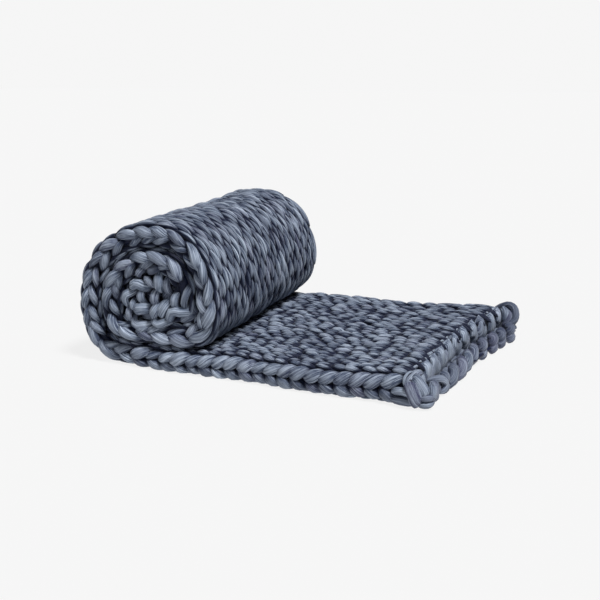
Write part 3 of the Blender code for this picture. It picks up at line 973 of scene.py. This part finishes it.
def aim(item, target):
    """Turn a camera or lamp to look at a point."""
    item.rotation_euler = (Vector(target) - item.location).to_track_quat("-Z", "Y").to_euler()


def add_camera():
    """The camera, at the viewing angle that shows the roll's end and the loose end."""
    data = bpy.data.cameras.new("camera")
    data.lens = CAMERA_LENS
    data.sensor_width = CAMERA_SENSOR
    data.clip_end = CAMERA_CLIP
    camera = bpy.data.objects.new("camera", data)
    back = direction(CAMERA_AZIMUTH, CAMERA_ELEVATION)
    camera.location = Vector(CAMERA_TARGET) + back * CAMERA_DISTANCE
    aim(camera, CAMERA_TARGET)
    bpy.context.collection.objects.link(camera)
    bpy.context.scene.camera = camera


def add_sun(sun):
    """A soft distant lamp."""
    data = bpy.data.lights.new(sun.name, "SUN")
    data.energy = sun.strength
    data.angle = math.radians(sun.angle)
    lamp = bpy.data.objects.new(sun.name, data)
    lamp.location = direction(sun.azimuth, sun.elevation) * SUN_DISTANCE
    aim(lamp, (0, 0, 0))
    bpy.context.collection.objects.link(lamp)


def add_backdrop():
    """Soft light from all round, and a plain pale colour where the camera sees past the floor."""
    world = bpy.data.worlds.new("studio")
    world.use_nodes = True
    tree = world.node_tree
    ambient = connect(tree, tree.nodes["Background"], {"Color": WHITE, "Strength": AMBIENT_STRENGTH})
    backdrop = add_node(tree, "Background", {"Color": BACKDROP})
    seen = tree.nodes.new("ShaderNodeLightPath")
    choice = add_node(tree, "MixShader", {
        "Fac": seen.outputs["Is Camera Ray"],
        1: ambient.outputs["Background"], 2: backdrop.outputs["Background"]})
    connect(tree, tree.nodes["World Output"], {"Surface": choice.outputs["Shader"]})
    bpy.context.scene.world = world


def add_floor():
    """A plain pale floor, lit partly from within so that the blanket's shadow stays faint."""
    mesh = bpy.data.meshes.new("floor")
    half = FLOOR_SIZE / 2
    mesh.from_pydata([(-half, -half, 0), (half, -half, 0), (half, half, 0), (-half, half, 0)],
                     [], [(0, 1, 2, 3)])
    paint = bpy.data.materials.new("floor")
    paint.use_nodes = True
    connect(paint.node_tree, paint.node_tree.nodes["Principled BSDF"], FLOOR_SURFACE)
    mesh.materials.append(paint)
    floor = bpy.data.objects.new("floor", mesh)
    bpy.context.collection.objects.link(floor)


# ==== putting it together

def knitting_plan():
    """The pieces made of stitches: each one's name, its legs with their styles, and how finely
    its tubes are divided along them and round them."""
    top = [(column, FIRST_WALE + WALE * (column - 1)) for column in range(1, SIDE_WALES + 1)]
    under = [(-column, -around) for column, around in top]
    outside = [(column, -ROLLED_FIRST_WALE - WALE * column) for column in range(SIDE_WALES)]

    def plain(name, wales, first, last, style, stations, sides):
        return name, [(legs_of(wales, first, last), style)], stations, sides

    def on_fold(name, around, first, last, raised, lowered):
        legs = legs_of([(0, around)], first, last)
        return name, [(one_side(legs, 1.0), raised), (one_side(legs, -1.0), lowered)], 14, 18

    return (
        plain("stitches_top", top[1:], 0.0, TOP_TO, LOOSE, 11, 12),
        plain("stitches_under", under[1:], 0.0, ROLL_FROM, LOOSE, 9, 8),
        plain("stitches_roll_left", outside, ROLL_FROM, ROLL_TOP, ROLLED_OUT, 13, 14),
        plain("stitches_roll_right", outside, ROLL_TOP, ROLL_TO, ROLLED_OUT, 13, 14),
        on_fold("stitches_fold", -FOLD_DROP, 0.0, FOLD_ROLLED_FROM, FOLD_UPPER, FOLD_LOWER),
        on_fold("stitches_fold_rolled", 0.0, FOLD_ROLLED_FROM, CORE_FROM, FOLD_INSIDE,
                FOLD_OUTSIDE),
        plain("stitches_beside_fold", top[:1] + under[:1], 0.0, ROLL_FROM, LOOSE, 12, 14),
        plain("stitches_turns_near", under[1:2], ROLL_TO, STRIP_LENGTH, ROLLED_OUT, 9, 10),
        plain("stitches_turns_near_inner", top[1:2], TOP_TO, STRIP_LENGTH, LOOSE, 9, 10),
        plain("stitches_turns_beside", top[:1], ROLL_FROM, STRIP_LENGTH, LOOSE, 12, 14),
        plain("stitches_turns_beside_inner", under[:1], ROLL_TO, STRIP_LENGTH, LOOSE, 12, 14),
    )


def knit(material):
    """Every piece of the knitting."""
    rng = np.random.default_rng(SEED)
    pieces = []
    for name, parts, stations, sides in knitting_plan():
        tubes = [stitch_legs(legs, style, stations, sides, rng) for legs, style in parts]
        pieces.append(yarn_object(name, tubes, material))
    others = (
        ("edge_bumps", edge_bumps(rng)),
        ("cast_off_upper", upper_straps(rng)),
        ("cast_off_lower", lower_end_leaves(rng)),
        ("purl_bumps", purl_bumps(rng)),
        ("core_end", core_end(rng)),
        ("knot_near", knot(NEAR_KNOT, rng)),
        ("knot_far", knot(FAR_KNOT, rng)),
    )
    return pieces + [yarn_object(name, tubes, material) for name, tubes in others]


def ground_rings():
    """Rings of points round the ground sheet, one after another along the strip."""
    along = np.linspace(0, 1, GROUND_STEPS)[:, None]
    around = np.linspace(-GROUND_REACH, GROUND_REACH, GROUND_POINTS)[None, :]
    start = np.where(around > 0, UPPER_END + UPPER_END_HOLLOW, 0.0)
    start = GROUND_MARGIN + start * smooth_step(around, -WALE / 2, WALE / 2)
    along = start + (STRIP_LENGTH - GROUND_MARGIN - start) * along
    around = np.broadcast_to(around, along.shape)
    faces = []
    for height in (-GROUND_DEPTH, -GROUND_DEPTH - GROUND_THICKNESS):
        across, up = hairpin(around, height, thickness_at(along))
        faces.append(place(along, across, up))
    return np.concatenate((faces[0], faces[1][:, ::-1]), axis=1)


def ground_sheet(material):
    """A thin sheet inside the two layers, which keeps light from passing between the stitches.
    It is painted nearly black with the deep painted shade.
    """
    rings = ground_rings()
    steps, count, _ = rings.shape
    quads, _ = tube_faces(steps, count)
    faces = quads[:, [0, 3, 2, 1]].tolist()
    for first, flip in ((0, 1), ((steps - 1) * count, -1)):
        for spot in range(count // 2 - 1):
            quad = (spot, spot + 1, count - 2 - spot, count - 1 - spot)
            faces.append(tuple(first + corner for corner in quad[::flip]))
    # no tone, and deep below the crests, so that it takes the deep painted shade
    tones = np.zeros((steps * count, 4))
    lines = np.tile((0.0, 0.0, -GROUND_DEPTH), (steps * count, 1))
    return mesh_object("ground", rings.reshape(-1, 3), faces, tones, lines, material)


def main():
    material = yarn_material()
    stitches = knit(material)
    ground = ground_sheet(material)
    for piece in stitches + [ground]:
        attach(piece, BODY)
        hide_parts(NODE)
    add_backdrop()
    for sun in SUNS:
        add_sun(sun)
    add_floor()
    add_camera()
    bpy.context.scene.view_settings.view_transform = "Standard"


main()
